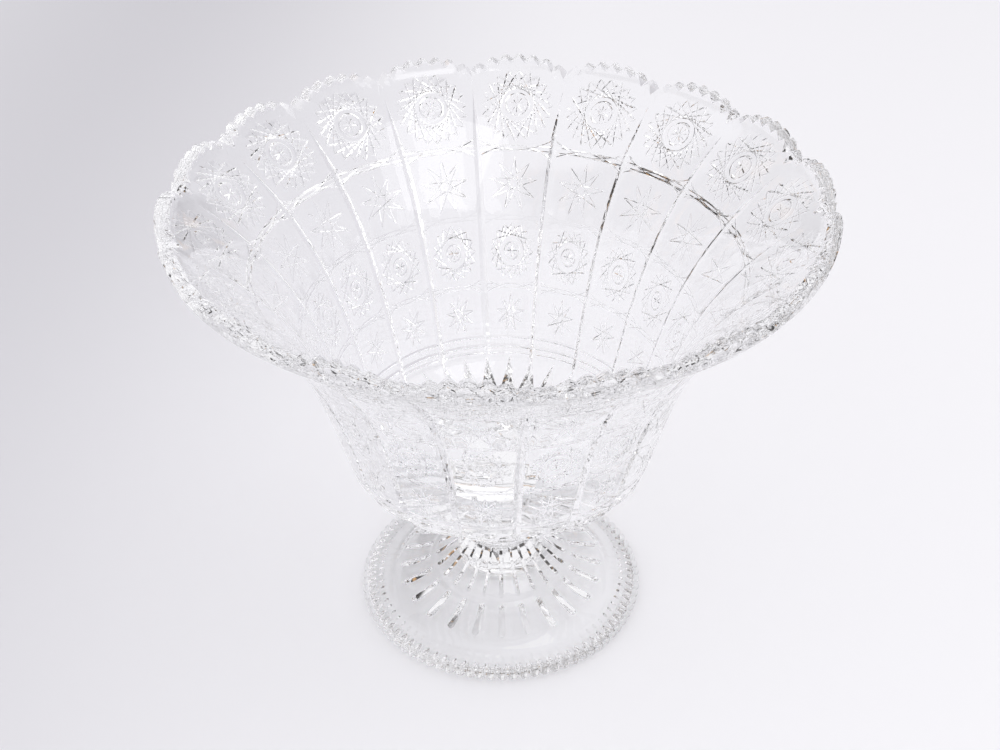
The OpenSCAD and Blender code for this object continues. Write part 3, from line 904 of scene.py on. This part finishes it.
def radial_cut_mesh(name, path, sides, widths, depths):
    """A V-shaped cutting body in the plane of the axis, along a line of (radius, height)."""
    path, sides = np.array(path, float), np.array(sides, float)
    slope = max(widths) / (2 * max(depths))
    points = []
    for p, n, d in zip(path, sides, depths):
        d = d if d > RUN_OUT else -RUN_OUT
        low, high = p - n * d, p + n * LIFT
        half = (d + LIFT) * slope
        points += [(low[0], 0, low[1]), (high[0], half, high[1]), (high[0], -half, high[1])]
    return wedge_mesh(name, [(x * MM, y * MM, z * MM) for x, y, z in points])


FLUTE_SHARES = np.array([0, 0.02, 0.06, 0.14, 0.3, 0.5, 0.7, 0.86, 0.94, 0.98, 1.0])


def flute_mesh(name, start, stop, wide_start, wide_stop, round_start, round_stop, steep):
    """One flute of the dome between two distances from the axis, with its depth by its width."""
    radii = start + (stop - start) * FLUTE_SHARES
    t = trumpet_at(radii)
    wide = wide_start + (wide_stop - wide_start) * FLUTE_SHARES
    gap_start, gap_stop = (radii - start) / round_start, (stop - radii) / round_stop
    full = np.sqrt(np.clip(1 - (1 - np.clip(np.minimum(gap_start, gap_stop), 0, 1)) ** 2, 0, 1))
    wide = wide * full
    return radial_cut_mesh(name, trumpet(t), trumpet_side(t), wide, wide * steep)


# Points round a rib or bead and from end to end, and a part step that keeps them off one plane
BEAD_AROUND, BEAD_RINGS, BEAD_SHIFT = 16, 10, 0.37


def capsule_mesh(name, a, b, radius):
    """A rounded rib between two places, or a bead where they're the same."""
    a, b = np.array([a[0], 0, a[1]], float), np.array([b[0], 0, b[1]], float)
    way = b - a
    length = np.linalg.norm(way)
    axis = way / length if length > 0 else np.array([0, 0, -1.0])
    side = np.array([0, 1.0, 0])
    third = np.cross(axis, side)
    points, faces = [], []
    for k in range(1, BEAD_RINGS):
        up = math.pi * k / BEAD_RINGS
        middle = a if up <= math.pi / 2 else b
        for j in range(BEAD_AROUND):
            turn = 2 * math.pi * (j + BEAD_SHIFT) / BEAD_AROUND
            out = side * math.cos(turn) + third * math.sin(turn)
            points.append(middle + radius * (-axis * math.cos(up) + math.sin(up) * out))
    points += [a - axis * radius, b + axis * radius]
    first, last, top = len(points) - 2, len(points) - 1, (BEAD_RINGS - 2) * BEAD_AROUND
    pairs = [(j, (j + 1) % BEAD_AROUND) for j in range(BEAD_AROUND)]
    for low in range(0, top, BEAD_AROUND):
        high = low + BEAD_AROUND
        faces += [(low + j, low + m, high + m, high + j) for j, m in pairs]
    for j, m in pairs:
        faces += [(first, m, j), (last, top + j, top + m)]
    return outward(make_mesh(name, [tuple(p * MM) for p in points], faces))


def joined_mesh(name, meshes):
    """Several separate closed meshes as one."""
    bm = bmesh.new()
    for mesh in meshes:
        bm.from_mesh(mesh)
    both = bpy.data.meshes.new(name)
    bm.to_mesh(both)
    bm.free()
    return both


foot_blank = make_object("foot_blank", turned_mesh("foot_blank", foot_line(), FOOT_SIDES))
# A flute: its two ends, width at each, length over which each is rounded, and depth by width
inner_flute = flute_mesh("inner_flute", 13.5, 28.6, 1.3, 2.1, 1.5, 0.8, 0.45)
outer_flute = flute_mesh("outer_flute", 31.2, 44.6, 2.3, 3.2, 0.9, 1.5, 1.0)
flute = make_object("flute_pair", joined_mesh("flute_pair", [inner_flute, outer_flute]))
# The small notches in the ledge inside the beads, square to the bevel
LEDGE_PATH, LEDGE_SIDE = [(52.7, 6.75), (53.4, 6.4), (54.3, 6.05), (55.3, 5.6)], (0.44, 0.9)
notch = make_object("ledge_notch", radial_cut_mesh(
    "ledge_notch", LEDGE_PATH, [LEDGE_SIDE] * len(LEDGE_PATH), [0, 1.5, 1.5, 0], [0, 0.5, 0.5, 0]))
rib = make_object("edge_rib", capsule_mesh("edge_rib", (56.5, 3.95), (59.0, 2.75), 1.9))
bead = make_object("edge_bead", capsule_mesh("edge_bead", (FOOT_R, 2.43), (FOOT_R, 2.43), 2.1))
scratch += [foot_blank, flute, notch, rib, bead]
foot_mesh = run_tree(foot_blank, press_tree(), {
    "Flute": flute, "Flute Count": FLUTES, "Notch": notch, "Rib": rib, "Bead": bead,
    "Bead Count": BEADS, "Material": foot_glass})
foot_points, foot_faces = read_mesh(foot_mesh)
foot_mesh = make_mesh("pressed_foot", foot_points @ turn_matrix(FOOT_TURN).T, foot_faces)
foot_mesh.materials.append(foot_glass)
fuse(foot_mesh, [WAFER_LOW], fused_joint)
pressed_foot = make_object("pressed_glass_foot", soften(foot_mesh, PRESSED_SHARP))

# ------------ the wafer
WAFER_RING, WAFER_STEPS, WAFER_SIDES = 12, 12, 96
edge_r = (WAFER_HIGH - WAFER_LOW) / 2
low, middle, high = WAFER_LOW + JOINT_GAP, WAFER_LOW + edge_r, WAFER_HIGH - JOINT_GAP
wafer_line = [(0, low), (WAFER_RING, low)] + [
    (WAFER_R - edge_r + edge_r * math.cos(a), middle + (edge_r - JOINT_GAP) * math.sin(a))
    for a in (math.pi * (i / WAFER_STEPS - 0.5) for i in range(WAFER_STEPS + 1))
] + [(WAFER_RING, high), (0, high)]
wafer_mesh = turned_mesh("clear_wafer", wafer_line, WAFER_SIDES)
wafer_mesh.materials.append(wafer_glass)
fuse(wafer_mesh, [WAFER_LOW, WAFER_HIGH], fused_joint)
clear_wafer = make_object("clear_glass_wafer", soften(wafer_mesh, PRESSED_SHARP))
drop(scratch)
bpy.data.collections.remove(shaped)

# ------------ studio, in metres
FLOOR_Z, FLOOR_REACH = -0.0002, 4
# Paper colours: the shaded one is painted shade, standing in for the light falling off towards the
# left
PAPER_PAINTED_SHADE, PAPER_PALE = (0.70, 0.693, 0.725, 1), (0.955, 0.95, 0.972, 1)
# Where the paper turns to painted shade towards the left, and pale again far out
PAINTED_SHADE_TURNS = ((0.04, -0.36, PAPER_PAINTED_SHADE), (-0.34, -0.90, PAPER_PALE))
# What a camera, a diffuse surface and glass see of the room, and the dark flags that glass sees
SEEN_BEHIND, SEEN_DIFFUSE = (0.90, 0.90, 0.92, 1), (0.85, 0.843, 0.86, 1)
SEEN_ROOM = (0.94, 0.933, 0.953, 1)
FLAG_DARK, FLAG_WARM = (0.03, 0.027, 0.025, 1), (0.55, 0.32, 0.14, 1)
FLAG_SOFT_RISE = 0.03
# Bearing of the photo's camera from the bowl, in degrees
CAMERA_BEARING = -85.38


def studio_floor():
    """Pale paper: pale on the right, with painted shade on the left, and pale again far out."""
    mat = bpy.data.materials.new("pale_floor")
    mat.use_nodes = True
    nodes, link = mat.node_tree.nodes, mat.node_tree.links.new
    place, split = nodes.new("ShaderNodeTexCoord"), nodes.new("ShaderNodeSeparateXYZ")
    link(place.outputs["Object"], split.inputs[0])
    colour = PAPER_PALE
    # The paper's colour steps to painted shade towards the left, then back to pale far out
    for from_x, to_x, other in PAINTED_SHADE_TURNS:
        share = soft_step(nodes, link, split.outputs["X"], from_x, to_x)
        colour = mix_colour(nodes, link, share, colour, other)
    shader = nodes["Principled BSDF"]
    set_inputs(shader, {"Roughness": 0.9, "Specular IOR Level": 0.1})
    link(colour, shader.inputs["Base Color"])
    corners = [(x * FLOOR_REACH, y * FLOOR_REACH, FLOOR_Z)
               for x, y in ((-1, -1), (1, -1), (1, 1), (-1, 1))]
    floor = make_object("studio_floor", make_mesh("studio_floor", corners, [(0, 1, 2, 3)]))
    floor.data.materials.append(mat)
    return floor


def studio_world():
    """A pale room, with two dark flags that only glass shows."""
    world = bpy.data.worlds.new("studio")
    world.use_nodes = True
    nodes, link = world.node_tree.nodes, world.node_tree.links.new
    path, place = nodes.new("ShaderNodeLightPath"), nodes.new("ShaderNodeTexCoord")
    split = nodes.new("ShaderNodeSeparateXYZ")
    link(place.outputs["Generated"], split.inputs[0])

    def sum_of(operation, *values):
        node = nodes.new("ShaderNodeMath")
        node.operation = operation
        for socket, value in zip(node.inputs, values):
            if isinstance(value, (int, float)):
                socket.default_value = value
            else:
                link(value, socket)
        return node.outputs[0]

    bearing = sum_of("ARCTAN2", split.outputs["Y"], split.outputs["X"])

    def flag_mask(centre, half, low, high, soft_turn):
        """How much of a flag stands in a direction: its bearing, half width and rise are given."""
        off = sum_of("SUBTRACT", bearing, math.radians(CAMERA_BEARING + centre))
        across = soft_step(nodes, link, sum_of("COSINE", off),
                           math.cos(math.radians(half + soft_turn)),
                           math.cos(math.radians(half - soft_turn)))
        rise = split.outputs["Z"]
        above = soft_step(nodes, link, rise, low - FLAG_SOFT_RISE, low + FLAG_SOFT_RISE)
        below = soft_step(nodes, link, rise, high + FLAG_SOFT_RISE, high - FLAG_SOFT_RISE)
        return sum_of("MULTIPLY", across, sum_of("MULTIPLY", above, below))

    patches = nodes.new("ShaderNodeTexNoise")
    set_inputs(patches, {"Scale": 9.0, "Detail": 1.0})
    link(place.outputs["Generated"], patches.inputs["Vector"])
    warm = soft_step(nodes, link, patches.outputs["Fac"], 0.60, 0.66)
    flag_colour = mix_colour(nodes, link, warm, FLAG_DARK, FLAG_WARM)
    room = SEEN_ROOM
    for flag in ((-80, 66, 0.20, 0.66, 8.0), (205, 60, 0.04, 0.36, 6.0)):
        room = mix_colour(nodes, link, flag_mask(*flag), room, flag_colour)
    by_glass = sum_of("MAXIMUM", path.outputs["Is Glossy Ray"], path.outputs["Is Transmission Ray"])
    seen = mix_colour(nodes, link, by_glass, SEEN_DIFFUSE, room)
    seen = mix_colour(nodes, link, path.outputs["Is Camera Ray"], seen, SEEN_BEHIND)
    link(seen, nodes["Background"].inputs["Color"])
    nodes["Background"].inputs["Strength"].default_value = 1.0
    return world


def soft_lamp(name, bearing, rise, distance, wide, tall, power, target):
    """An area lamp that faces the target from a bearing and a rise, in degrees."""
    lamp = bpy.data.lights.new(name, "AREA")
    lamp.shape, lamp.size, lamp.size_y, lamp.energy = "RECTANGLE", wide, tall, power
    ob = make_object(name, lamp)
    turn, lift = math.radians(CAMERA_BEARING + bearing), math.radians(rise)
    way = Vector((math.cos(turn) * math.cos(lift), math.sin(turn) * math.cos(lift), math.sin(lift)))
    ob.location = Vector(target) + way * distance
    ob.rotation_euler = (-way).to_track_quat("-Z", "Y").to_euler()


floor = studio_floor()
bpy.context.scene.world = studio_world()
soft_lamp("window_softbox", 34, 46, 1.6, 1.1, 1.15, 6.4, (0, 0, 0.15))

# ------------ camera
# Fitted to the photo: focal length in pixels, distance from the point that it turns round and that
# point's height in millimetres, and its angles
FOCAL, DISTANCE, PIVOT_Z = 1357.69, 504.7, 192.4
ELEVATION, ROLL, AZIMUTH = math.radians(28.639), math.radians(0.427), math.radians(4.62)
PAN, TILT = math.radians(0.029), math.radians(-7.338)
SENSOR, PHOTO_WIDTH = 36.0, 1000.0


def camera_pose():
    """The camera's turn and place."""
    ce, se = math.cos(ELEVATION), math.sin(ELEVATION)
    right, ahead, up = np.array([1.0, 0, 0]), np.array([0, ce, -se]), np.array([0, se, ce])
    stand = np.array([0, -ce, se]) * DISTANCE + np.array([0, 0, PIVOT_Z])
    x_axis = math.cos(PAN) * right - math.sin(PAN) * ahead
    z_axis = math.sin(PAN) * right + math.cos(PAN) * ahead
    y_axis = math.cos(TILT) * up - math.sin(TILT) * z_axis
    z_axis = math.sin(TILT) * up + math.cos(TILT) * z_axis
    x_axis, y_axis = (math.cos(ROLL) * x_axis - math.sin(ROLL) * y_axis,
                      math.sin(ROLL) * x_axis + math.cos(ROLL) * y_axis)
    swing = turn_matrix(AZIMUTH)
    pose = np.eye(4)
    pose[:3, 0], pose[:3, 1], pose[:3, 2] = swing @ x_axis, swing @ y_axis, -(swing @ z_axis)
    pose[:3, 3] = swing @ stand * MM
    return Matrix(pose.tolist())


camera_data = bpy.data.cameras.new("camera")
camera_data.sensor_width = SENSOR
camera_data.lens = FOCAL * SENSOR / PHOTO_WIDTH
camera_data.clip_start, camera_data.clip_end = 0.01, 20.0
camera = make_object("camera", camera_data)
camera.matrix_world = camera_pose()
bpy.context.scene.camera = camera
bpy.context.scene.view_settings.view_transform = "Standard"
light_paths = bpy.context.scene.cycles
light_paths.max_bounces = light_paths.transmission_bounces = 32
light_paths.glossy_bounces, light_paths.transparent_max_bounces = 16, 32

# ------------ the new pieces join the root body, and the CAD parts they replace are hidden
for piece, node, slot in (
        (cut_bowl, "bowl", "bowl_glass"),
        (clear_wafer, "joining_wafer", "wafer_glass"),
        (pressed_foot, "foot", "foot_glass")):
    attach(piece, "root")
    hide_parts(node)
